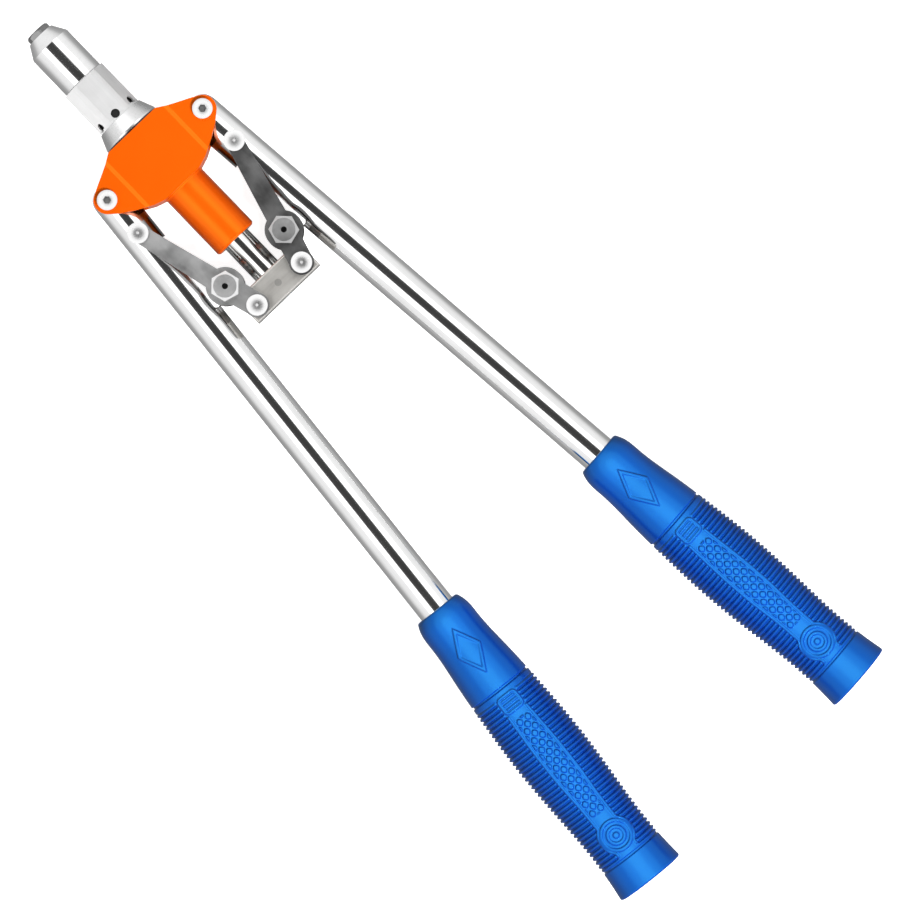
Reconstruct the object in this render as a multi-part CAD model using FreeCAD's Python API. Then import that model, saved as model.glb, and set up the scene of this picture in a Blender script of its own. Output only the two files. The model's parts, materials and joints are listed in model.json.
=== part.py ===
import FreeCAD, Part
import os
from math import sin, cos, tan, radians, degrees, atan2, sqrt, hypot, pi

V = FreeCAD.Vector
os.makedirs("parts", exist_ok=True)

# Long-arm hand riveter.  Millimetres.  Y is the tool axis with the nozzle tip
# at y = 0 pointing +Y, the arms spread in the XY plane, +Z is the front face.

# ------------------------------------------------------------------ sizes
PX, PY = 27.2, -71.3          # arm pivot in the head (right side, mirrored left)
AX, AY = 27.5, -89.7          # link pivot on the arm
NX, NY = 16.8, -130.4         # link bolt, half way down the link
CX, CY = 12.7, -145.1         # link pivot on the crosshead
ARM_ANGLE = 5.43              # splay of each arm from the tool axis, degrees
OPEN_ANGLE = 60.0             # swing of each arm, degrees

TUBE_R, TUBE_BORE_R = 8.0, 6.5
GRIP_START = 216.2            # along the arm from the pivot line
GRIP_LEN = 142.0
GRIP_PROFILE = [(0.0, 10.1), (2.5, 11.2), (12, 12.15), (30, 13.45), (50, 14.8), (68, 15.55),
                (82, 15.5), (100, 14.75), (118, 14.0), (130, 14.3), (141.2, 15.35)]
GRIP_GROOVE_AT, GRIP_GROOVE_W, GRIP_GROOVE_D = 41.0, 1.6, 0.7
GRIP_WALL_END = 9.0

PLATE_IN, PLATE_OUT = 8.3, 10.8     # link plates, distance from the mid plane
EAR_IN, EAR_OUT = 8.3, 12.0         # walls of the wing pockets
RIVET_HEAD_R, RIVET_HEAD_H = 4.4, 1.9
LINK_RIVET_R = 2.5
CROSS_SHANK_R = 1.5
CROSS_HOLE_R = 3.7
PIVOT_BOLT_R = 3.0
HEX_AF = 11.0

BARREL_R, BARREL_END = 9.9, -119.2
BODY_FRONT = -57.6
ADAPTER_R, ADAPTER_AF = 10.4, 19.2
SLEEVE_R = 9.6
COLLAR_R = 13.4
CASE_R, CASE_BORE_CLEAR = 7.4, 0.3
ROD_R, ROD_BORE_R = 6.3, 3.0
NOZZLE_BORE_R = 1.9
CASE_FRONT = -27.5            # front face of the jaw case with the arms closed
CASE_LEN = 36.0
CONE_ANGLE = 10.0


# ---------------------------------------------------------------- helpers
def cyl_y(r, y0, y1, x=0.0, z=0.0):
    lo, hi = min(y0, y1), max(y0, y1)
    return Part.makeCylinder(r, hi - lo, V(x, lo, z), V(0, 1, 0))


def cyl_z(r, z0, z1, x, y):
    lo, hi = min(z0, z1), max(z0, z1)
    return Part.makeCylinder(r, hi - lo, V(x, y, lo), V(0, 0, 1))


def cone_y(r0, y0, r1, y1):
    """Cone with radius r0 at y0 and r1 at y1."""
    if y0 > y1:
        r0, y0, r1, y1 = r1, y1, r0, y0
    return Part.makeCone(r0, r1, y1 - y0, V(0, y0, 0), V(0, 1, 0))


def prism(points, z0, z1):
    pts = [V(x, y, z0) for x, y in points]
    return Part.Face(Part.makePolygon(pts + [pts[0]])).extrude(V(0, 0, z1 - z0))


def hex_z(af, z0, z1, x, y, turn=0.0):
    rr = af / 2.0 / cos(pi / 6)
    pts = [(x + rr * cos(radians(turn + 60 * k)), y + rr * sin(radians(turn + 60 * k))) for k in range(6)]
    return prism(pts, z0, z1)


def hex_y(af, y0, y1, turn=0.0):
    rr = af / 2.0 / cos(pi / 6)
    pts = [V(rr * cos(radians(turn + 60 * k)), min(y0, y1), rr * sin(radians(turn + 60 * k))) for k in range(6)]
    return Part.Face(Part.makePolygon(pts + [pts[0]])).extrude(V(0, abs(y1 - y0), 0))


def chamfered_hex_z(af, z0, z1, x, y, turn, top, face_r=None):
    """Hex prism whose corners are rounded off at the outer end, down to a round face of radius face_r if given."""
    h = hex_z(af, z0, z1, x, y, turn)
    big = af / 2.0 / cos(pi / 6)
    lo, hi = min(z0, z1), max(z0, z1)
    if face_r:
        base_r = face_r + (hi - lo) * 1.55
        ends = (base_r, face_r) if top > 0 else (face_r, base_r)
        return h.common(Part.makeCone(ends[0], ends[1], hi - lo, V(x, y, lo), V(0, 0, 1)))
    if top > 0:
        cone = Part.makeCone(big + (hi - lo) - 0.55, big - 0.55, hi - lo, V(x, y, lo), V(0, 0, 1))
    else:
        cone = Part.makeCone(big - 0.55, big + (hi - lo) - 0.55, hi - lo, V(x, y, lo), V(0, 0, 1))
    return h.common(cone)


def dome_z(r, z0, h, x, y, sign):
    """Low domed rivet head, flat side at z0, height h away from the mid plane."""
    edge = 0.55 * h
    base = cyl_z(r, z0, z0 + sign * edge, x, y)
    cap_h = h - edge
    rr = (r * r + cap_h * cap_h) / (2 * cap_h)
    cz = z0 + sign * (h - rr)
    ball = Part.makeSphere(rr, V(x, y, cz))
    cap = ball.common(cyl_z(r, z0 + sign * edge, z0 + sign * (h + 1), x, y))
    return base.fuse(cap).removeSplitter()


def fuse(*shapes):
    s = shapes[0]
    for o in shapes[1:]:
        s = s.fuse(o)
    return s.removeSplitter()


def mirror_x(s):
    return s.mirror(V(0, 0, 0), V(1, 0, 0))


def save(name, shape):
    solids = shape.Solids
    out = solids[0] if len(solids) == 1 else Part.makeCompound(solids)
    if not out.isValid():
        out.fix(0.01, 0.01, 0.01)
    out.exportStep("parts/%s.step" % name)
    b = out.BoundBox
    print("%-24s solids %d valid %s  x %.1f..%.1f y %.1f..%.1f z %.1f..%.1f  vol %.0f" % (
        name, len(solids), out.isValid(), b.XMin, b.XMax, b.YMin, b.YMax, b.ZMin, b.ZMax, out.Volume))


# --------------------------------------------------------------- head body
EAR_R = 5.75
ear = [(PX + EAR_R * cos(radians(t)), PY + EAR_R * sin(radians(t))) for t in (64, 50, 36, 22, 8, -6, -20, -34, -46)]
outline = [(13.3, BODY_FRONT), (17.4, -60.1), (21.4, -62.1), (25.6, -64.1)] + ear + [
    (27.2, -78.9), (21.8, -82.3), (14.6, -86.2), (9.9, -87.7), (0, -87.7), (0, BODY_FRONT)]
CREASE_X, PANEL_Z = 17.0, 13.2
section = [(0, -PANEL_Z), (CREASE_X - 0.9, -PANEL_Z), (CREASE_X + 0.9, -PANEL_Z + 0.65), (35.5, -EAR_OUT + 0.5),
           (35.5, EAR_OUT - 0.5), (CREASE_X + 0.9, PANEL_Z - 0.65), (CREASE_X - 0.9, PANEL_Z), (0, PANEL_Z)]
sec_face = Part.Face(Part.makePolygon([V(x, -95, z) for x, z in section + section[:1]]))
half = prism(outline, -PANEL_Z, PANEL_Z).common(sec_face.extrude(V(0, 45, 0)))
plate = half.fuse(mirror_x(half)).removeSplitter()


def try_fillet(shape, picker, radius):
    """Round the picked edges, with a smaller radius where the first is refused."""
    edges = [e for e in shape.Edges if picker(e)]
    for rr in (radius, radius * 0.75, radius * 0.5, radius * 0.3):
        try:
            out = shape.makeFillet(rr, edges)
            if out.isValid() and out.Volume > 0 and len(out.Solids) == 1:
                return out
        except Exception:
            pass
    return shape


def rim_edge(e):
    """Outer rim of the front and rear faces of the wing plate."""
    if len(e.Vertexes) < 2:
        return False
    a, b = e.Vertexes[0].Point, e.Vertexes[1].Point
    m = (a + b) * 0.5
    if a.z * b.z < 0 or abs(a.z) < EAR_OUT - 2 or abs(b.z) < EAR_OUT - 2:
        return False
    on_crease = abs(a.x - b.x) < 1e-4
    return not on_crease and abs(m.y - BODY_FRONT) > 1e-3


plate = try_fillet(plate, rim_edge, 1.3)
body = fuse(plate, cone_y(10.9, -87.0, BARREL_R, -88.7),
            cyl_y(BARREL_R, -84.0, BARREL_END))
body = body.common(fuse(cyl_y(60, -40, BARREL_END + 0.8), cone_y(BARREL_R, BARREL_END + 0.8, BARREL_R - 0.8, BARREL_END)))

# low round seats under the pivot bolt heads and nuts
for sx in (1, -1):
    for sz in (1, -1):
        body = body.fuse(cyl_z(4.8, sz * (EAR_OUT - 2.5), sz * (EAR_OUT + 0.5), sx * PX, PY))
body = body.removeSplitter()

# arm pockets, open outwards and backwards
for sx in (1, -1):
    pocket = fuse(
        cyl_z(7.1, -EAR_IN, EAR_IN, PX, PY),
        cyl_z(10.4, -EAR_IN, EAR_IN, PX, PY).common(prism([(10, PY + 0.4), (60, PY + 0.4), (60, -90), (10, -90)], -EAR_IN, EAR_IN)),
        prism([(PX, -64.2), (60, -64.2), (60, -100), (17.3, -100), (17.3, PY), (PX, PY)], -EAR_IN, EAR_IN))
    if sx < 0:
        pocket = mirror_x(pocket)
    body = body.cut(pocket)
    body = body.cut(cyl_z(PIVOT_BOLT_R, -20, 20, sx * PX, PY))

# bores: adapter thread, jaw case, rod, guide bush seat
body = body.cut(cyl_y(9.8, BODY_FRONT + 1, -68.0))
body = body.cut(cyl_y(CASE_R + 0.3, -67.0, -80.0))
body = body.cut(cyl_y(ROD_R + 0.5, -79.0, -104.0))
body = body.cut(cyl_y(8.2, -103.9, BARREL_END - 1))
save("head_body", body)

# ----------------------------------------------------------- rod guide bush
bush = cyl_y(8.2, -103.9, BARREL_END).cut(cyl_y(ROD_R + 0.05, -100, -125))
save("rod_guide_bush", bush)

# --------------------------------------------------------- nose assembly
inner_r = CASE_R + CASE_BORE_CLEAR
sleeve = fuse(cone_y(6.2, -2.6, SLEEVE_R, -8.3), cyl_y(SLEEVE_R, -8.3, -27.8), cone_y(SLEEVE_R, -27.8, SLEEVE_R - 0.4, -28.2))
sleeve = sleeve.cut(cyl_y(4.6, 0, -11)).cut(cyl_y(inner_r, -10.0, -40))
sleeve = sleeve.cut(cone_y(4.6, -8.4, inner_r, -10.05))
save("nose_sleeve", sleeve)

NOZZLE_R, NOZZLE_AF = 5.6, 10.0
tip = fuse(cone_y(NOZZLE_R, -0.8, NOZZLE_R - 0.9, 0.0), cyl_y(NOZZLE_R, -0.8, -2.6)).common(hex_y(NOZZLE_AF, 1, -3, 18))
nozzle = fuse(tip, cyl_y(4.6, -2.6, -8.4), cone_y(4.2, -8.4, 2.9, -12.0))
nozzle = nozzle.cut(cyl_y(NOZZLE_BORE_R, 1, -13))
save("nozzle", nozzle)

adapter = cyl_y(ADAPTER_R, -28.2, -49.8).common(hex_y(ADAPTER_AF, -28.2, -49.8, 0))
adapter = fuse(adapter, cyl_y(ADAPTER_R, -48.8, -50.0), cyl_y(9.8, -49.8, -67.8))
for k in range(6):
    a = radians(30 + 60 * k)
    d = V(cos(a), 0, sin(a))
    adapter = adapter.cut(Part.makeCylinder(1.9, 4.0, V(8.15 * d.x, -47.7, 8.15 * d.z), d))
adapter = adapter.cut(cyl_y(inner_r, -20, -70))
save("hex_adapter", adapter)

collar = fuse(cone_y(10.9, -50.0, COLLAR_R, -56.1), cyl_y(COLLAR_R, -56.1, BODY_FRONT + 0.8),
              cyl_y(COLLAR_R - 1.5, BODY_FRONT + 0.8, BODY_FRONT))
collar = collar.cut(cyl_y(9.8, -40, -60))
save("flange_collar", collar)

# --------------------------------------------------- pulling head and rod
cf = CASE_FRONT
cr = cf - CASE_LEN
cone_len = 14.7
case_mouth = 3.7
cone_end_r = case_mouth + tan(radians(CONE_ANGLE)) * cone_len
case = cyl_y(CASE_R, cf, cr)
case = case.common(fuse(cone_y(CASE_R - 1.0, cf, CASE_R, cf - 1.0), cyl_y(CASE_R, cf - 1.0, cr)))
case = case.cut(cone_y(case_mouth, cf + 0.0001, cone_end_r, cf - cone_len))
case = case.cut(cyl_y(ROD_R, cf - cone_len + 0.01, cr - 1))
save("jaw_case", case)

# three gripping jaws, each a third of a cone with a toothed bore
jaw_gap = 0.35
jaw_front = cf - 0.6
jaw_len = 11.0
jr0 = case_mouth + tan(radians(CONE_ANGLE)) * 0.6 - 0.02
jr1 = jr0 + tan(radians(CONE_ANGLE)) * jaw_len
jaw_full = cone_y(jr0, jaw_front, jr1, jaw_front - jaw_len)
jaw_full = jaw_full.cut(cyl_y(1.25, 0, -80)).cut(cone_y(2.2, jaw_front + 0.01, 1.2, jaw_front - 1.4))
for k in range(7):
    yy = jaw_front - 2.2 - 1.2 * k
    jaw_full = jaw_full.cut(cone_y(1.25, yy, 1.75, yy - 0.6)).cut(cone_y(1.75, yy - 0.6, 1.25, yy - 0.7))
names = ["jaw_upper", "jaw_lower_left", "jaw_lower_right"]
for k in range(3):
    mid = 90 + 120 * k                       # direction of the jaw's centre in the XZ plane
    a0, a1 = radians(mid - 60), radians(mid + 60)
    big = 30.0
    wedge = Part.Face(Part.makePolygon([V(0, -60, 0), V(big * cos(a0), -60, big * sin(a0)),
                                        V(big * cos(radians(mid)), -60, big * sin(radians(mid))),
                                        V(big * cos(a1), -60, big * sin(a1)), V(0, -60, 0)])).extrude(V(0, 60, 0))
    wedge.translate(V(jaw_gap * cos(radians(mid)), 0, jaw_gap * sin(radians(mid))))
    save(names[k], jaw_full.common(wedge))

# pusher behind the jaws, spring behind the pusher
push_front = jaw_front - jaw_len - 0.02
pusher = fuse(cone_y(5.3, push_front, ROD_R - 0.45, push_front - 3.0), cyl_y(3.1, push_front - 3.0, push_front - 8.0))
pusher = pusher.cut(cyl_y(2.2, -20, -80))
save("jaw_pusher", pusher)

rod_front = cf - 25.5
wire = 0.55
spring_y0, spring_y1 = push_front - 3.0 - wire - 0.02, rod_front + wire + 0.02
turns = 4.5
span = abs(spring_y0 - spring_y1)
helix = Part.makeHelix(span / turns, span, 4.7)
prof = Part.Wire([Part.makeCircle(wire, V(4.7, 0, 0), V(0, 1, 0))])
spring = Part.Wire(helix).makePipeShell([prof], True, True)
spring.rotate(V(0, 0, 0), V(1, 0, 0), 90)
spring.translate(V(0, spring_y0, 0))
save("jaw_spring", spring)

rod = cyl_y(ROD_R, rod_front, -150.9)
rod = rod.cut(cyl_y(ROD_BORE_R, -20, -160))
rod = rod.cut(cone_y(ROD_BORE_R, -149.4, 4.5, -150.9001))
rod = rod.cut(cyl_z(1.5, -8, 8, 0, -144.3))
save("pull_tube", rod)

# --------------------------------------------------------------- crosshead
CH_TOP, CH_BOT, CH_W = -137.5, -150.9, 17.6
ch = prism([(-CH_W, CH_BOT), (CH_W, CH_BOT), (CH_W, -142.6), (CH_W - 3.4, CH_TOP), (-CH_W + 3.4, CH_TOP), (-CH_W, -142.6)], -8.0, 8.0)
ch = ch.cut(cyl_y(ROD_R, -130, -155))
ch = ch.cut(cyl_z(1.5, -9, 9, 0, -144.3))
for sx in (1, -1):
    ch = ch.cut(cyl_z(CROSS_SHANK_R, -9, 9, sx * CX, CY))
ch = try_fillet(ch, lambda e: e.Curve.TypeId == "Part::GeomLine" and abs(abs(e.BoundBox.ZMin) - 8.0) < 1e-3 and
                abs(e.BoundBox.ZMax - e.BoundBox.ZMin) < 1e-3 and e.Length > 3, 0.9)
save("crosshead", ch)

pin = cyl_z(1.5, -7.9, 7.9, 0, -144.3)
pin = pin.cut(cyl_y(ROD_BORE_R, -140, -150))
# the cross pin is two short dowels, one from each face, clear of the mandrel bore
save("crosshead_dowels", pin)

rivets = []
for sx in (1, -1):
    s = cyl_z(CROSS_SHANK_R, -(PLATE_OUT + 0.3), PLATE_OUT + 0.3, sx * CX, CY)
    for sz in (1, -1):
        s = s.fuse(dome_z(RIVET_HEAD_R, sz * (PLATE_OUT + 0.3), RIVET_HEAD_H, sx * CX, CY, sz))
        s = s.cut(Part.makeSphere(1.0, V(sx * CX, CY, sz * (PLATE_OUT + 0.3 + RIVET_HEAD_H + 0.55))))
    rivets.append(s.removeSplitter())
save("crosshead_rivets", Part.makeCompound(rivets))

# ------------------------------------------------------------ arm fasteners
bolts, nuts = [], []
for sx in (1, -1):
    head = dome_z(4.2, EAR_OUT + 0.5, 2.2, sx * PX, PY, 1)
    socket = hex_z(3.0, EAR_OUT + 0.5 + 1.0, EAR_OUT + 4.0, sx * PX, PY, 15)
    b = head.cut(socket).fuse(cyl_z(PIVOT_BOLT_R, EAR_OUT + 0.5, -(EAR_OUT + 2.9), sx * PX, PY)).removeSplitter()
    bolts.append(b)
    n = chamfered_hex_z(9.0, -(EAR_OUT + 0.5), -(EAR_OUT + 2.7), sx * PX, PY, 0, -1)
    nuts.append(n.cut(cyl_z(PIVOT_BOLT_R, -20, 0, sx * PX, PY)))
save("arm_pivot_bolts", Part.makeCompound(bolts))
save("arm_pivot_nuts", Part.makeCompound(nuts))

# ---------------------------------------------------------------- arm, grip
ua = radians(ARM_ANGLE)
UX, UY = sin(ua), -cos(ua)                     # along the arm
WX, WY = cos(ua), sin(ua)                      # outwards across the arm
# the tube's centre line passes through the link pivot
t_pivot = (PX - AX) * UX + (PY - AY) * UY      # station of the pivot seen from A (negative)
OX, OY = AX + UX * t_pivot, AY + UY * t_pivot  # centre line point level with the pivot


def arm_pt(s, w=0.0, z=0.0):
    return V(OX + UX * s + WX * w, OY + UY * s + WY * w, z)


def arm_cyl(r, s0, s1):
    return Part.makeCylinder(r, s1 - s0, arm_pt(s0), V(UX, UY, 0))


TUBE_END = GRIP_START + GRIP_LEN - GRIP_WALL_END
PW = (PX - OX) * WX + (PY - OY) * WY           # how far the pivot sits outside the centre line
tube = arm_cyl(TUBE_R, -12.0, TUBE_END)
keep = cyl_z(6.45, -20, 20, PX, PY)
rear_half = prism([(arm_pt(0, -20).x, arm_pt(0, -20).y), (arm_pt(0, 20).x, arm_pt(0, 20).y),
                   (arm_pt(400, 20).x, arm_pt(400, 20).y), (arm_pt(400, -20).x, arm_pt(400, -20).y)], -20, 20)
tube = tube.common(keep.fuse(rear_half))
tube = tube.cut(arm_cyl(TUBE_BORE_R, -20.0, TUBE_END + 5))
tube = tube.cut(cyl_z(PIVOT_BOLT_R + 0.05, -20, 20, PX, PY))
tube = tube.cut(cyl_z(LINK_RIVET_R + 0.05, -20, 20, AX, AY))
# long clearance notch for the folding link, on the inner side
notch_r = 1.5
n0, n1, depth = 25.5, 62.5, 2.5
a = arm_pt(n0 + notch_r, -TUBE_R + depth - notch_r)
b = arm_pt(n1 - notch_r, -TUBE_R + depth - notch_r)
mid0, mid1 = arm_pt(n0 + notch_r, -TUBE_R + depth), arm_pt(n1 - notch_r, -TUBE_R + depth)
far0, far1 = arm_pt(n0 + notch_r, -TUBE_R - 12), arm_pt(n1 - notch_r, -TUBE_R - 12)
notch = fuse(cyl_z(notch_r, -12, 12, a.x, a.y), cyl_z(notch_r, -12, 12, b.x, b.y),
             prism([(mid0.x, mid0.y), (mid1.x, mid1.y), (far1.x, far1.y), (far0.x, far0.y)], -12, 12))
tube = tube.cut(notch)
if len(tube.Solids) > 1:
    tube = max(tube.Solids, key=lambda q: q.Volume)
save("right_arm_tube", tube)
save("left_arm_tube", mirror_x(tube))


def revolve_grip():
    """Outline in (s, r), turned about the arm's centre line."""
    top = [(s, r) for s, r in GRIP_PROFILE]
    end_s, end_r = GRIP_LEN, 14.5
    pts = [V(s, r, 0) for s, r in top]
    sp = Part.BSplineCurve()
    sp.interpolate(pts)
    e_top = sp.toShape()
    arc = Part.Arc(V(141.2, 15.35, 0), V(141.78, 15.08, 0), V(end_s, end_r, 0)).toShape()
    lines = [Part.makeLine(V(end_s, end_r, 0), V(end_s, 0, 0)),
             Part.makeLine(V(end_s, 0, 0), V(0, 0, 0)),
             Part.makeLine(V(0, 0, 0), V(0, GRIP_PROFILE[0][1], 0))]
    w = Part.Wire([e_top, arc] + lines)
    solid = Part.Face(w).revolve(V(0, 0, 0), V(1, 0, 0), 360)
    if solid.Volume < 0:
        solid.reverse()
    # ring groove between the front collar and the hand zone
    ring = Part.makeCylinder(20, GRIP_GROOVE_W, V(GRIP_GROOVE_AT, 0, 0), V(1, 0, 0)).cut(
        Part.makeCylinder(14.05 - GRIP_GROOVE_D, GRIP_GROOVE_W + 2, V(GRIP_GROOVE_AT - 1, 0, 0), V(1, 0, 0)))
    solid = solid.cut(ring)
    # bore for the tube
    solid = solid.cut(Part.makeCylinder(TUBE_R, TUBE_END - GRIP_START + 1, V(-1, 0, 0), V(1, 0, 0)))
    return solid


g = revolve_grip()
m = FreeCAD.Matrix(UX, WX, 0, 0, UY, WY, 0, 0, 0, 0, 1, 0, 0, 0, 0, 1)
pl = FreeCAD.Placement(m)
p0 = arm_pt(GRIP_START)
pl.Base = p0
grip = g.copy()
grip.Placement = pl
save("right_grip", grip)
save("left_grip", mirror_x(grip))

# --------------------------------------------------------------------- links
lx, ly = CX - AX, CY - AY
ll = hypot(lx, ly)
lx, ly = lx / ll, ly / ll
nx, ny = -ly, lx                                # across the link


def strip(p, q, wp, wq, z0, z1):
    """Straight taper between two points, half widths wp and wq."""
    d = V(q[0] - p[0], q[1] - p[1], 0)
    d.normalize()
    n = V(-d.y, d.x, 0)
    return prism([(p[0] + n.x * wp, p[1] + n.y * wp), (q[0] + n.x * wq, q[1] + n.y * wq),
                  (q[0] - n.x * wq, q[1] - n.y * wq), (p[0] - n.x * wp, p[1] - n.y * wp)], z0, z1)


def link_plate(z0, z1):
    A_, N_, C_ = (AX, AY), (NX, NY), (CX, CY)
    s = fuse(cyl_z(4.3, z0, z1, AX, AY), strip(A_, N_, 3.7, 4.6, z0, z1), cyl_z(8.0, z0, z1, NX, NY),
             strip(N_, C_, 5.2, 4.9, z0, z1), cyl_z(5.2, z0, z1, CX, CY))
    s = s.cut(cyl_z(LINK_RIVET_R, z0 - 1, z1 + 1, AX, AY))
    s = s.cut(cyl_z(3.0, z0 - 1, z1 + 1, NX, NY))
    s = s.cut(cyl_z(CROSS_HOLE_R, z0 - 1, z1 + 1, CX, CY))
    return s


front = link_plate(PLATE_IN, PLATE_OUT)
rear = link_plate(-PLATE_OUT, -PLATE_IN)
rivet = cyl_z(LINK_RIVET_R, -PLATE_OUT, PLATE_OUT, AX, AY)
for sz in (1, -1):
    rivet = rivet.fuse(dome_z(RIVET_HEAD_R, sz * PLATE_OUT, RIVET_HEAD_H, AX, AY, sz))
    rivet = rivet.cut(Part.makeSphere(1.0, V(AX, AY, sz * (PLATE_OUT + RIVET_HEAD_H + 0.55))))
rivet = rivet.removeSplitter()
bolt = fuse(chamfered_hex_z(HEX_AF, PLATE_OUT, PLATE_OUT + 3.6, NX, NY, 15, 1, 4.8),
            cyl_z(3.0, PLATE_OUT, -(PLATE_OUT + 4.2), NX, NY))
bolt = bolt.cut(cyl_z(1.25, PLATE_OUT + 0.4, PLATE_OUT + 5, NX, NY))
nut = chamfered_hex_z(10.0, -PLATE_OUT, -(PLATE_OUT + 3.4), NX, NY, 15, -1, 4.5).cut(cyl_z(3.0, -30, 0, NX, NY))
spacer = cyl_z(4.6, -PLATE_IN, PLATE_IN, NX, NY).cut(cyl_z(3.0, -30, 30, NX, NY))
for nm, s in (("link_front_plate", front), ("link_rear_plate", rear), ("link_arm_rivet", rivet),
              ("link_bolt", bolt), ("link_bolt_nut", nut), ("link_spacer", spacer)):
    save("right_" + nm, s)
    save("left_" + nm, mirror_x(s))
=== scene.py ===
import json
import math

import bpy
import numpy as np
from mathutils import Matrix, Vector

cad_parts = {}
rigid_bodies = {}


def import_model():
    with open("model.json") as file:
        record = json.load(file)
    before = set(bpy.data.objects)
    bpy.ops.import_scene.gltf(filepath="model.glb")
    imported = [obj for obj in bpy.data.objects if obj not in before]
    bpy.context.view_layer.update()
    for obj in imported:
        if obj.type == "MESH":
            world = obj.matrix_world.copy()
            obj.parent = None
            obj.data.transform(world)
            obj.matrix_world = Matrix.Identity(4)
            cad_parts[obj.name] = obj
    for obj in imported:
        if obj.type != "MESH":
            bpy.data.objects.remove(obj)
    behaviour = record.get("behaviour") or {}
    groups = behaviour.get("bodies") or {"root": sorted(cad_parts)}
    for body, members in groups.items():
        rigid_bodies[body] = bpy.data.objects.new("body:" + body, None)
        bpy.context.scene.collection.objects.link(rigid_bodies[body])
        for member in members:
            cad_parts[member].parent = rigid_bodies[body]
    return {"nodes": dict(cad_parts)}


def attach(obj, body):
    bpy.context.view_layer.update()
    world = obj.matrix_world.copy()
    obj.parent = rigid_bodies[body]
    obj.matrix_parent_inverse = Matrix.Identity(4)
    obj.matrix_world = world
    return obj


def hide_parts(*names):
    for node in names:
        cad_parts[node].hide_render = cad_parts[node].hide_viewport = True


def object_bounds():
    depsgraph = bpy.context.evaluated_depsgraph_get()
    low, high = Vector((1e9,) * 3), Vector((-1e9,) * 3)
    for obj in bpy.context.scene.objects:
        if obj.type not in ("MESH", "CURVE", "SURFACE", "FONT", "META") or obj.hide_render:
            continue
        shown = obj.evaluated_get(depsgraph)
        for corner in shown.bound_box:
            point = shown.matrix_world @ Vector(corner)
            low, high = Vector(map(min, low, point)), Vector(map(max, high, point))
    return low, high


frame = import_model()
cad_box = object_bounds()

MM = 0.001
scene = bpy.context.scene


# ------------------------------------------------------------------ materials
def new_mat(name):
    m = bpy.data.materials.new(name)
    m.use_nodes = True
    nt = m.node_tree
    for n in list(nt.nodes):
        if n.type != "OUTPUT_MATERIAL":
            nt.nodes.remove(n)
    out = next(n for n in nt.nodes if n.type == "OUTPUT_MATERIAL")
    bsdf = nt.nodes.new("ShaderNodeBsdfPrincipled")
    nt.links.new(bsdf.outputs[0], out.inputs[0])
    return m, nt, bsdf


def coord(nt, scale=(1, 1, 1), turn=0.0):
    tc = nt.nodes.new("ShaderNodeTexCoord")
    mp = nt.nodes.new("ShaderNodeMapping")
    mp.inputs["Scale"].default_value = scale
    mp.inputs["Rotation"].default_value = (0, 0, turn)
    nt.links.new(tc.outputs["Object"], mp.inputs["Vector"])
    return mp.outputs[0]


def noise(nt, vec, scale, detail=3.0, rough=0.55):
    n = nt.nodes.new("ShaderNodeTexNoise")
    n.inputs["Scale"].default_value = scale
    n.inputs["Detail"].default_value = detail
    n.inputs["Roughness"].default_value = rough
    nt.links.new(vec, n.inputs["Vector"])
    return n.outputs["Fac"]


def ramp(nt, fac, stops):
    r = nt.nodes.new("ShaderNodeValToRGB")
    els = r.color_ramp.elements
    while len(els) < len(stops):
        els.new(0.5)
    for e, (p, c) in zip(els, stops):
        e.position = p
        e.color = tuple(c) + (1,) if len(c) == 3 else c
    nt.links.new(fac, r.inputs[0])
    return r.outputs[0]


def remap(nt, fac, a, b, c, d):
    m = nt.nodes.new("ShaderNodeMapRange")
    m.inputs[1].default_value = a
    m.inputs[2].default_value = b
    m.inputs[3].default_value = c
    m.inputs[4].default_value = d
    nt.links.new(fac, m.inputs[0])
    return m.outputs[0]


def bump(nt, bsdf, height, strength, dist):
    b = nt.nodes.new("ShaderNodeBump")
    b.inputs["Strength"].default_value = strength
    b.inputs["Distance"].default_value = dist
    nt.links.new(height, b.inputs["Height"])
    nt.links.new(b.outputs[0], bsdf.inputs["Normal"])


def metal(name, dark, light, r0, r1, scale=(1, 1, 1), turn=0.0, freq=900.0, bump_mm=0.01, bump_k=0.15, metallic=1.0, blotch=60.0):
    """Metal whose grain is stretched along one direction by the mapping scale."""
    m, nt, b = new_mat(name)
    vec = coord(nt, scale, turn)
    grain = noise(nt, vec, freq, 4.0, 0.6)
    cloud = noise(nt, coord(nt), blotch, 3.0, 0.5)
    mix = nt.nodes.new("ShaderNodeMath")
    mix.operation = "MULTIPLY_ADD"
    nt.links.new(grain, mix.inputs[0])
    mix.inputs[1].default_value = 0.5
    nt.links.new(remap(nt, cloud, 0.3, 0.7, 0.0, 0.5), mix.inputs[2])
    nt.links.new(ramp(nt, mix.outputs[0], [(0.15, dark), (0.85, light)]), b.inputs["Base Color"])
    nt.links.new(remap(nt, mix.outputs[0], 0.2, 0.8, r0, r1), b.inputs["Roughness"])
    b.inputs["Metallic"].default_value = metallic
    bump(nt, b, grain, bump_k, bump_mm * MM)
    return m


def g(v):
    return (v, v, v)


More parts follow.
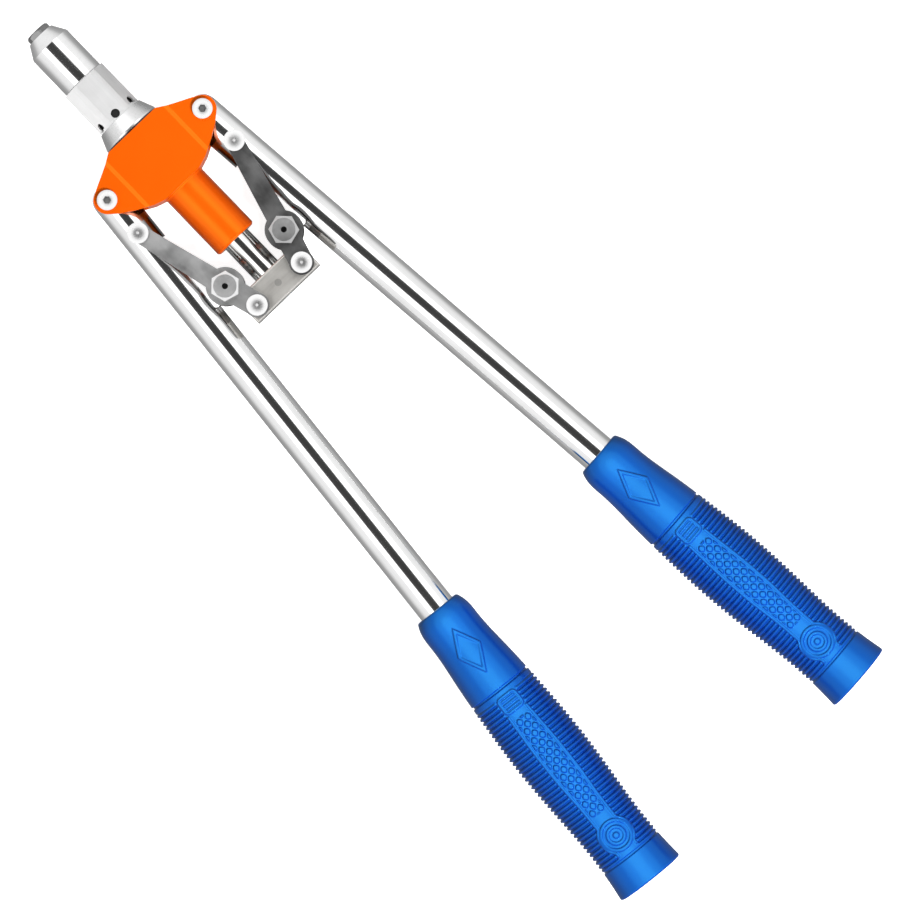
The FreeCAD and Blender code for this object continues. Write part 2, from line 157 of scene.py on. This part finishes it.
TILT = math.radians(5.43)
MATS = {
    "arm_right": metal("arm_chrome_right", g(0.84), g(0.94), 0.06, 0.11, (1, 0.03, 1), -TILT, 1500, 0.004, 0.05),
    "arm_left": metal("arm_chrome_left", g(0.84), g(0.94), 0.06, 0.11, (1, 0.03, 1), TILT, 1500, 0.004, 0.05),
    "rod": metal("rod_chrome", (0.74, 0.73, 0.71), (0.86, 0.85, 0.83), 0.06, 0.11, (1, 0.03, 1), 0, 1500, 0.004, 0.05),
    "sleeve": metal("nose_chrome", g(0.84), g(0.94), 0.07, 0.13, (1, 1, 1), 0, 700, 0.004, 0.04),
    "adapter": metal("adapter_satin", g(0.64), g(0.77), 0.62, 0.72, (1, 0.1, 1), 0, 900, 0.01, 0.10),
    "nozzle": metal("nozzle_steel", g(0.17), g(0.27), 0.20, 0.30, (1, 6, 1), 0, 500, 0.01, 0.12),
    "fastener": metal("zinc_fastener", g(0.53), g(0.64), 0.24, 0.34, (1, 1, 1), 0, 900, 0.01, 0.08),
    "collar": metal("collar_satin", g(0.66), g(0.82), 0.22, 0.30, (1, 1, 1), 0, 900, 0.01, 0.10),
    # painted light and shade: the right hex heads and link plates are darker copies of the same zinc and steel as the
    # left ones
    "hexhead_right": metal("zinc_hex_right", g(0.42), g(0.60), 0.31, 0.40, (1, 1, 1), 0, 800, 0.012, 0.14),
    "hexhead": metal("zinc_hex", g(0.74), g(0.92), 0.31, 0.40, (1, 1, 1), 0, 800, 0.012, 0.14),
    "link_right": metal("link_steel_right", g(0.095), g(0.190), 0.38, 0.56, (1, 0.35, 1), math.radians(-14.4), 420, 0.015, 0.22, 1.0, 110.0),
    "link_left": metal("link_steel_left", g(0.27), g(0.455), 0.38, 0.56, (1, 0.35, 1), math.radians(14.4), 420, 0.015, 0.22, 1.0, 110.0),
    "cross": metal("crosshead_steel", (0.53, 0.515, 0.485), (0.69, 0.675, 0.645), 0.38, 0.52, (0.06, 1, 1), 0, 1100, 0.012, 0.20),
    "dowel": metal("dowel_steel", (0.40, 0.39, 0.37), (0.54, 0.53, 0.51), 0.38, 0.50, (1, 1, 1), 0, 900, 0.01, 0.12),
    "tool": metal("tool_steel", g(0.26), g(0.42), 0.30, 0.45, (1, 1, 1), 0, 700, 0.01, 0.12),
    "spring": metal("spring_steel", g(0.38), g(0.52), 0.25, 0.35, (1, 1, 1), 0, 900, 0.006, 0.08),
    "bronze": metal("bush_bronze", (0.46, 0.29, 0.11), (0.66, 0.47, 0.22), 0.30, 0.42, (1, 1, 1), 0, 1200, 0.015, 0.25),
}


def orange_paint():
    m, nt, b = new_mat("orange_paint")
    haze = noise(nt, coord(nt), 22.0, 2.0, 0.4)
    cloud = noise(nt, coord(nt), 35.0, 3.0, 0.5)
    nt.links.new(ramp(nt, cloud, [(0.3, (0.57, 0.067, 0.0008)), (0.7, (0.60, 0.073, 0.0011))]), b.inputs["Base Color"])
    nt.links.new(remap(nt, haze, 0.2, 0.8, 0.27, 0.30), b.inputs["Roughness"])
    b.inputs["Metallic"].default_value = 0.0
    b.inputs["IOR"].default_value = 1.8
    b.inputs["Specular IOR Level"].default_value = 0.8
    b.inputs["Specular Tint"].default_value = (1.0, 0.5, 0.04, 1.0)
    return m


def blue_grip():
    m, nt, b = new_mat("blue_grip")
    haze = noise(nt, coord(nt), 30.0, 2.0, 0.4)
    cloud = noise(nt, coord(nt), 40.0, 3.0, 0.5)
    nt.links.new(ramp(nt, cloud, [(0.3, (0.0008, 0.031, 0.28)), (0.7, (0.0011, 0.038, 0.33))]), b.inputs["Base Color"])
    nt.links.new(remap(nt, haze, 0.2, 0.8, 0.26, 0.32), b.inputs["Roughness"])
    b.inputs["IOR"].default_value = 1.9
    b.inputs["Specular IOR Level"].default_value = 0.9
    b.inputs["Specular Tint"].default_value = (0.06, 0.55, 1.0, 1.0)
    return m


MATS["orange"] = orange_paint()
MATS["blue"] = blue_grip()

LOOK = {
    "head_body": "orange", "nose_sleeve": "sleeve", "hex_adapter": "adapter", "flange_collar": "collar",
    "nozzle": "nozzle", "rod_guide_bush": "bronze", "arm_pivot_bolts": "fastener", "arm_pivot_nuts": "fastener",
    "crosshead_rivets": "fastener", "pull_tube": "rod", "crosshead": "cross", "crosshead_dowels": "dowel",
    "jaw_case": "tool", "jaw_pusher": "tool", "jaw_upper": "tool", "jaw_lower_left": "tool", "jaw_lower_right": "tool",
    "jaw_spring": "spring", "right_arm_tube": "arm_right", "left_arm_tube": "arm_left", "right_grip": "blue", "left_grip": "blue",
}
for side in ("right", "left"):
    LOOK[side + "_link_front_plate"] = "link_" + side
    LOOK[side + "_link_rear_plate"] = "link_" + side
    LOOK[side + "_link_arm_rivet"] = "fastener"
    LOOK[side + "_link_bolt"] = "hexhead_right" if side == "right" else "hexhead"
    LOOK[side + "_link_bolt_nut"] = LOOK[side + "_link_bolt"]
    LOOK[side + "_link_spacer"] = "tool"



def paint_recess_shade(mat, a, b, mode, cx=0.0, cy=0.0):
    """Painted shade: the base colour is darkened where a distance is below a mm, plain metal above b mm.

    mode "bore" measures from the tool's long axis, "along" is the station on it,
    "spot" measures from an axis square to the plates at cx, cy.
    """
    nt = mat.node_tree
    bsdf = next(n for n in nt.nodes if n.type == "BSDF_PRINCIPLED")
    sep = nt.nodes.new("ShaderNodeSeparateXYZ")
    nt.links.new(coord(nt), sep.inputs[0])
    where = sep.outputs[1]
    if mode != "along":
        flat = nt.nodes.new("ShaderNodeCombineXYZ")
        nt.links.new(sep.outputs[0], flat.inputs[0])
        nt.links.new(sep.outputs[2 if mode == "bore" else 1], flat.inputs[1])
        off = nt.nodes.new("ShaderNodeVectorMath")
        off.operation = "SUBTRACT"
        off.inputs[1].default_value = (cx * MM, cy * MM, 0.0)
        nt.links.new(flat.outputs[0], off.inputs[0])
        length = nt.nodes.new("ShaderNodeVectorMath")
        length.operation = "LENGTH"
        nt.links.new(off.outputs[0], length.inputs[0])
        where = length.outputs["Value"]
    keep = remap(nt, where, a * MM, b * MM, 0.07, 1.0)
    old = bsdf.inputs["Base Color"].links[0].from_socket
    mul = nt.nodes.new("ShaderNodeVectorMath")
    mul.operation = "MULTIPLY"
    nt.links.new(old, mul.inputs[0])
    nt.links.new(keep, mul.inputs[1])
    nt.links.new(mul.outputs[0], bsdf.inputs["Base Color"])


# painted shade inside the adapter's holes, in the groove behind the collar and in the dimple of each hex bolt head
paint_recess_shade(MATS["adapter"], 9.0, 9.25, "bore")
paint_recess_shade(MATS["collar"], -56.9, -56.8, "along")
paint_recess_shade(MATS["hexhead_right"], 1.15, 1.35, "spot", 16.8, -130.4)
paint_recess_shade(MATS["hexhead"], 1.15, 1.35, "spot", -16.8, -130.4)


def paint_flank_shade(mat, sign):
    """Painted shade on the inner flank of an arm tube between the head and the notch: the chrome's colour is darkened
    there.
    """
    nt = mat.node_tree
    bsdf = next(n for n in nt.nodes if n.type == "BSDF_PRINCIPLED")
    vec = coord(nt)
    dot = nt.nodes.new("ShaderNodeVectorMath")
    dot.operation = "DOT_PRODUCT"
    dot.inputs[1].default_value = (sign * math.cos(TILT), math.sin(TILT), 0.0)
    nt.links.new(vec, dot.inputs[0])
    sep = nt.nodes.new("ShaderNodeSeparateXYZ")
    nt.links.new(vec, sep.inputs[0])
    at = (27.5 * math.cos(TILT) - 89.7 * math.sin(TILT)) * MM
    flank = remap(nt, dot.outputs["Value"], at - 5.2 * MM, at - 3.2 * MM, 0.0, 1.0)
    rear = remap(nt, sep.outputs[1], -0.1085, -0.1065, 1.0, 0.0)
    top = nt.nodes.new("ShaderNodeMath")
    top.operation = "MAXIMUM"
    nt.links.new(flank, top.inputs[0])
    nt.links.new(rear, top.inputs[1])
    old = bsdf.inputs["Base Color"].links[0].from_socket
    mul = nt.nodes.new("ShaderNodeVectorMath")
    mul.operation = "MULTIPLY"
    nt.links.new(old, mul.inputs[0])
    nt.links.new(remap(nt, top.outputs[0], 0.0, 1.0, 0.16, 1.0), mul.inputs[1])
    nt.links.new(mul.outputs[0], bsdf.inputs["Base Color"])


# painted shade on the inner flank of each arm tube
paint_flank_shade(MATS["arm_right"], 1)
paint_flank_shade(MATS["arm_left"], -1)

for name, obj in frame["nodes"].items():
    mat = MATS[LOOK[name]]
    obj.data.materials.clear()
    obj.data.materials.append(mat)

# ---------------------------------------------------------------------- grips
ARM = math.radians(5.43)
PX, PY, AX, AY = 27.2, -71.3, 27.5, -89.7
UX, UY, WX, WY = math.sin(ARM), -math.cos(ARM), math.cos(ARM), math.sin(ARM)
T = (PX - AX) * UX + (PY - AY) * UY
OX, OY = AX + UX * T, AY + UY * T
GRIP_START, GRIP_LEN, TUBE_R = 216.2, 142.0, 8.0
PROFILE = np.array([(0.0, 10.1), (2.5, 11.2), (12, 12.15), (30, 13.45), (50, 14.8), (68, 15.55),
                    (82, 15.5), (100, 14.75), (118, 14.0), (130, 14.3), (141.2, 15.35)])


def spline(xs, ys, x):
    """Natural cubic spline through the points."""
    n = len(xs)
    h = np.diff(xs)
    a = np.zeros((n, n))
    r = np.zeros(n)
    a[0, 0] = a[-1, -1] = 1
    for i in range(1, n - 1):
        a[i, i - 1], a[i, i], a[i, i + 1] = h[i - 1], 2 * (h[i - 1] + h[i]), h[i]
        r[i] = 6 * ((ys[i + 1] - ys[i]) / h[i] - (ys[i] - ys[i - 1]) / h[i - 1])
    m = np.linalg.solve(a, r)
    k = np.clip(np.searchsorted(xs, x) - 1, 0, n - 2)
    t0, t1 = x - xs[k], xs[k + 1] - x
    return (m[k] * t1 ** 3 + m[k + 1] * t0 ** 3) / (6 * h[k]) + (ys[k] / h[k] - m[k] * h[k] / 6) * t1 + (ys[k + 1] / h[k] - m[k + 1] * h[k] / 6) * t0


def step(x, a, b):
    """Smooth 0 to 1 between a and b."""
    t = np.clip((x - a) / (b - a), 0, 1)
    return t * t * (3 - 2 * t)


def line(x, at, half, soft):
    """Bump of height 1 centred at a value."""
    return 1 - step(np.abs(x - at), half, half + soft)


PITCH = 2.05


def relief(s, u, r):
    """Height in mm above the plain grip at station s, u mm round from the middle of the front or back panel."""
    d = np.zeros_like(s)
    quarter = r * math.pi / 2
    # ring groove behind the front collar
    d -= 0.75 * line(s, 41.8, 0.30, 0.45)
    # panel border widens round the boss near the end
    half = 5.0 + 0.9 * step(s, 50, 75) - 0.9 * step(s, 84, 105)
    boss = np.hypot(s - 118.5, u)
    half = np.maximum(half, np.sqrt(np.maximum(7.9 ** 2 - (s - 118.5) ** 2, 0)))
    zone = step(s, 44.2, 45.2) * (1 - step(s, 126.6, 127.4))
    outside = step(u, half + 0.25, half + 1.0)
    # transverse ribs
    rib = 0.5 + 0.5 * np.cos(2 * math.pi * (s - 45.6) / PITCH)
    rib = np.sqrt(np.clip(rib, 0, 1))
    d += zone * outside * (1.15 * rib - 0.85)
    # raised border line of the panel
    border = line(u, half - 0.35, 0.40, 0.35) * step(s, 52.6, 53.2) * (1 - step(s, 126.2, 126.8)) * (1 - step(7.0 - boss, 0.0, 0.8))
    d += 0.62 * border
    # small ribbed window at the front of the panel
    wx, wy = np.abs(s - 48.6), np.abs(u)
    rr = 1.6
    box = np.hypot(np.maximum(wx - (3.5 - rr), 0), np.maximum(wy - (4.3 - rr), 0)) - rr + np.minimum(np.maximum(wx - (3.5 - rr), wy - (4.3 - rr)), 0)
    d += 0.62 * line(box, 0.0, 0.38, 0.35)
    d += 0.50 * (1 - step(box, -1.1, -0.6)) * (0.5 + 0.5 * np.cos(2 * math.pi * (s - 48.6) / 2.0))
    # diamond pattern along the panel
    inside = (1 - step(u, half - 1.9, half - 1.3)) * step(s, 55.5, 56.3) * (1 - step(s, 106.5, 107.5))
    dia = np.abs(np.sin(math.pi * (s + u * 1.15) / 4.8)) * np.abs(np.sin(math.pi * (s - u * 1.15) / 4.8))
    d += 0.72 * inside * step(dia, 0.20, 0.55)
    # round boss with plain rings
    d += 0.70 * line(boss, 6.3, 0.50, 0.4)
    d += 0.60 * line(boss, 3.5, 0.45, 0.4)
    d += 0.60 * (1 - step(boss, 0.9, 1.6))
    # groove in front of the flared end band
    d -= 0.60 * line(s, 128.4, 0.3, 0.45)
    # plain raised lozenge on the front collar, front and back
    for uu in (u,):
        fx, fy = np.abs(s - 21.5), uu
        q = fx / 10.0 + fy / 5.2
        taper = 1.0 / math.hypot(1 / 10.0, 1 / 5.2)
        dist = (q - 1.0) * taper
        d += 0.70 * line(dist, 0.0, 0.45, 0.4)
        d += 0.20 * (1 - step(dist, -0.9, -0.5))
    # moulding line on both sides
    d += 0.10 * line(u, quarter, 0.10, 0.3)
    return d


def grip_mesh(name, mirror):
    # stations on the outside, from the closed end forward
    out_s = np.concatenate([np.linspace(141.2, 129.6, 20, endpoint=False), np.linspace(129.6, 127.2, 12, endpoint=False),
                            np.arange(127.2, 44.0, -0.25), np.linspace(44.0, 40.4, 18, endpoint=False),
                            np.linspace(40.4, 9.0, 80, endpoint=False), np.linspace(9.0, 0.6, 18)])
    out_r = spline(PROFILE[:, 0], PROFILE[:, 1], out_s)
    arc = []
    # closed end: shallow dish, then the rolled rim
    for s_, r_ in ((140.6, 0.001), (140.6, 5.0), (140.65, 10.0), (140.9, 11.8), (141.5, 12.6), (141.9, 13.1), (142.0, 13.6), (142.0, 14.4),
                   (141.92, 14.75), (141.78, 15.0), (141.5, 15.25)):
        arc.append((s_, r_, 0.0))
    rows = arc + [(a, b, 1.0) for a, b in zip(out_s, out_r)]
    r_front = rows[-1][1]
    # rolled front edge, front face, bore for the tube
    rows += [(0.25, r_front - 0.30, 0.0), (0.05, r_front - 0.75, 0.0), (0.0, r_front - 1.1, 0.0), (0.0, 8.35, 0.0), (0.1, 8.12, 0.0), (0.35, 8.06, 0.0),
             (60.0, 8.06, 0.0), (133.2, 8.06, 0.0), (133.2, 4.0, 0.0), (133.2, 0.001, 0.0)]
    rows = np.array(rows)
    dense = np.radians(np.arange(-31, 31.01, 1.0))
    coarse = np.radians(np.arange(34, 147, 3.6))
    th = np.concatenate([dense, coarse, dense + math.pi, coarse + math.pi])
    th = np.unique(np.round(np.mod(th, 2 * math.pi), 6))
    n_r, n_t = len(rows), len(th)
    S = np.repeat(rows[:, 0:1], n_t, 1)
    R = np.repeat(rows[:, 1:2], n_t, 1)
    K = np.repeat(rows[:, 2:3], n_t, 1)
    TH = np.repeat(th[None, :], n_r, 0)
    away = np.abs(np.mod(TH + math.pi / 2, math.pi) - math.pi / 2)      # angle from the nearer of front and back
    R = R + K * relief(S, away * R, R)
    W = R * np.sin(TH)
    Z = R * np.cos(TH)
    st = GRIP_START + S
    X = (OX + UX * st + WX * W) * MM
    Y = (OY + UY * st + WY * W) * MM
    Zm = Z * MM
    if mirror:
        X = -X
    co = np.stack([X, Y, Zm], -1).reshape(-1, 3)
    i = np.arange(n_r - 1)[:, None] * n_t
    j = np.arange(n_t)[None, :]
    jn = (j + 1) % n_t
    quads = np.stack([i + j, i + jn, i + n_t + jn, i + n_t + j], -1).reshape(-1, 4)
    faces = [list(map(int, q)) for q in quads]
    faces.append([int(k) for k in range(n_t)][::-1])
    last = (n_r - 1) * n_t
    faces.append([last + int(k) for k in range(n_t)])
    me = bpy.data.meshes.new(name)
    me.from_pydata([tuple(v) for v in co.tolist()], [], faces)
    me.validate()
    import bmesh
    bm = bmesh.new()
    bm.from_mesh(me)
    bmesh.ops.remove_doubles(bm, verts=bm.verts, dist=2e-6)
    bmesh.ops.recalc_face_normals(bm, faces=bm.faces)
    bm.to_mesh(me)
    bm.free()
    me.polygons.foreach_set("use_smooth", [True] * len(me.polygons))
    me.materials.append(MATS["blue"])
    o = bpy.data.objects.new(name, me)
    scene.collection.objects.link(o)
    return o


for side, mirror in (("right", False), ("left", True)):
    o = grip_mesh(side + "_grip_moulding", mirror)
    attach(o, side + "_arm")
    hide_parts(side + "_grip")

# ---------------------------------------------------------------- floor, light
low = min(cad_box[0][2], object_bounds()[0][2])
bpy.ops.mesh.primitive_plane_add(size=8.0, location=(0, -0.25, low - 0.0002))
floor = bpy.context.object
floor.name = "studio_floor"
fm, fnt, fb = new_mat("floor_paper")
fb.inputs["Roughness"].default_value = 0.9
fb.inputs["Specular IOR Level"].default_value = 0.1
paper = noise(fnt, coord(fnt), 60.0, 3.0, 0.5)
fnt.links.new(ramp(fnt, paper, [(0.2, g(0.76)), (0.8, g(0.80))]), fb.inputs["Base Color"])
floor.data.materials.append(fm)
fb.inputs["Emission Color"].default_value = (1, 1, 1, 1)
fb.inputs["Emission Strength"].default_value = 0.82
floor.visible_diffuse = False        # the sweep lights nothing: the surround below the horizon does
floor.visible_glossy = False
floor.visible_shadow = False

world = bpy.data.worlds.new("studio")
scene.world = world
world.use_nodes = True
wt = world.node_tree
for n in list(wt.nodes):
    wt.nodes.remove(n)
wo = wt.nodes.new("ShaderNodeOutputWorld")
bg = wt.nodes.new("ShaderNodeBackground")
tc = wt.nodes.new("ShaderNodeTexCoord")
sx = wt.nodes.new("ShaderNodeSeparateXYZ")
wt.links.new(tc.outputs["Generated"], sx.inputs[0])
half = wt.nodes.new("ShaderNodeMath")
half.operation = "MULTIPLY_ADD"
half.inputs[1].default_value = 0.5
half.inputs[2].default_value = 0.5
wt.links.new(sx.outputs[2], half.inputs[0])
cr = wt.nodes.new("ShaderNodeValToRGB")
# height of the direction (-1 straight down, 1 straight up) and brightness
stops = [(-1.0, 0.34), (-0.62, 0.34), (-0.30, 0.46), (-0.10, 0.70), (0.15, 0.90), (0.60, 1.0), (0.67, 1.9), (0.905, 1.9), (0.935, 0.08), (1.0, 0.05)]
els = cr.color_ramp.elements
while len(els) < len(stops):
    els.new(0.5)
for e, (p, v) in zip(els, stops):
    e.position = 0.5 + 0.5 * p
    e.color = (v, v, v, 1)
wt.links.new(half.outputs[0], cr.inputs[0])
wt.links.new(cr.outputs[0], bg.inputs[0])
bg.inputs[1].default_value = 1.0
wt.links.new(bg.outputs[0], wo.inputs[0])

world.cycles_visibility.diffuse = False     # the surround makes the gloss, the lamps below light the paint


def lamp(name, energy, angle, turn, roll=0.0):
    data = bpy.data.lights.new(name, "SUN")
    data.energy = energy
    data.angle = math.radians(angle)
    o = bpy.data.objects.new(name, data)
    scene.collection.objects.link(o)
    o.rotation_euler = (math.radians(turn), math.radians(roll), 0)
    o.visible_glossy = False
    return o


lamp("key", 5.4, 20, 40)
fill = lamp("fill", 2.2, 180, 0)
lamp("bounce", 0.5, 180, 180)
# a soft overhead card gives the vinyl its highlight and is flagged off everything else
card = lamp("card", 1.35, 46, 0)
card.visible_glossy = True
gloss = bpy.data.collections.new("card_receivers")
for o in list(scene.objects):
    if o.name.endswith("_grip_moulding"):
        gloss.objects.link(o)
card.light_linking.receiver_collection = gloss
# a low card on the left brightens that flat of the adapter
side_card = lamp("side_card", 1.65, 90, 0, -114)
side_card.visible_glossy = True
flat = bpy.data.collections.new("side_card_receivers")
flat.objects.link(frame["nodes"]["hex_adapter"])
side_card.light_linking.receiver_collection = flat
# the soft fill reaches the painted head and the paper only, so the grips keep their dark edges
lit = bpy.data.collections.new("fill_receivers")
lit.objects.link(frame["nodes"]["head_body"])
lit.objects.link(floor)
fill.light_linking.receiver_collection = lit

# ---------------------------------------------------------------------- camera
cam_data = bpy.data.cameras.new("camera")
cam = bpy.data.objects.new("camera", cam_data)
scene.collection.objects.link(cam)
scene.camera = cam
WIDE = 0.3800                        # metres of the object's plane across the frame
cam_data.sensor_width = 36.0
cam_data.lens = 300.0
dist = WIDE * cam_data.lens / 36.0
right = Vector((0.7206, -0.6934, 0)).normalized()
up = Vector((0.6934, 0.7206, 0)).normalized()
back = right.cross(up)
rot = Matrix((right, up, back)).transposed().to_4x4()
cam.matrix_world = Matrix.Translation(Vector((3.27 * MM, -248.98 * MM, dist))) @ rot
cam_data.clip_end = 20.0

scene.view_settings.view_transform = "Standard"
scene.view_settings.look = "None"
scene.view_settings.exposure = 0.0
